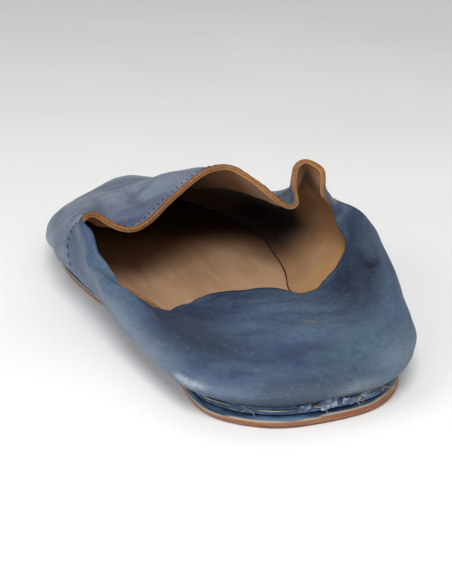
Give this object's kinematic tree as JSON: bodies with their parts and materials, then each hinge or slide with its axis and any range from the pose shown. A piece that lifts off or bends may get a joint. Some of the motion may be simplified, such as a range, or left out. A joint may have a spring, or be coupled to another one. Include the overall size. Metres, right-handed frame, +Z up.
{
  "type": "babouche slipper",
  "caption": "Soft pointed leather slipper, worn as a mule: its heel quarter is trodden flat over a thin leather sole.",
  "frame": {"origin": "on the floor under the sole's centre line, half way along its length", "axes": "+Y from heel to toe, +Z up, +X to the wearer's right, which is the inner side of this left shoe"},
  "size_m": [0.1112, 0.2636, 0.054],
  "materials": {
    "sole_leather": "matt, vegetable-tanned",
    "blue_leather": "satin, worn, dyed blue on the grain side",
    "tan_leather": "matt, undyed"
  },
  "bodies": {
    "root": {"outsole": "sole_leather", "rand": "blue_leather", "insole": "tan_leather", "upper": "blue_leather"}
  },
  "joints": []
}
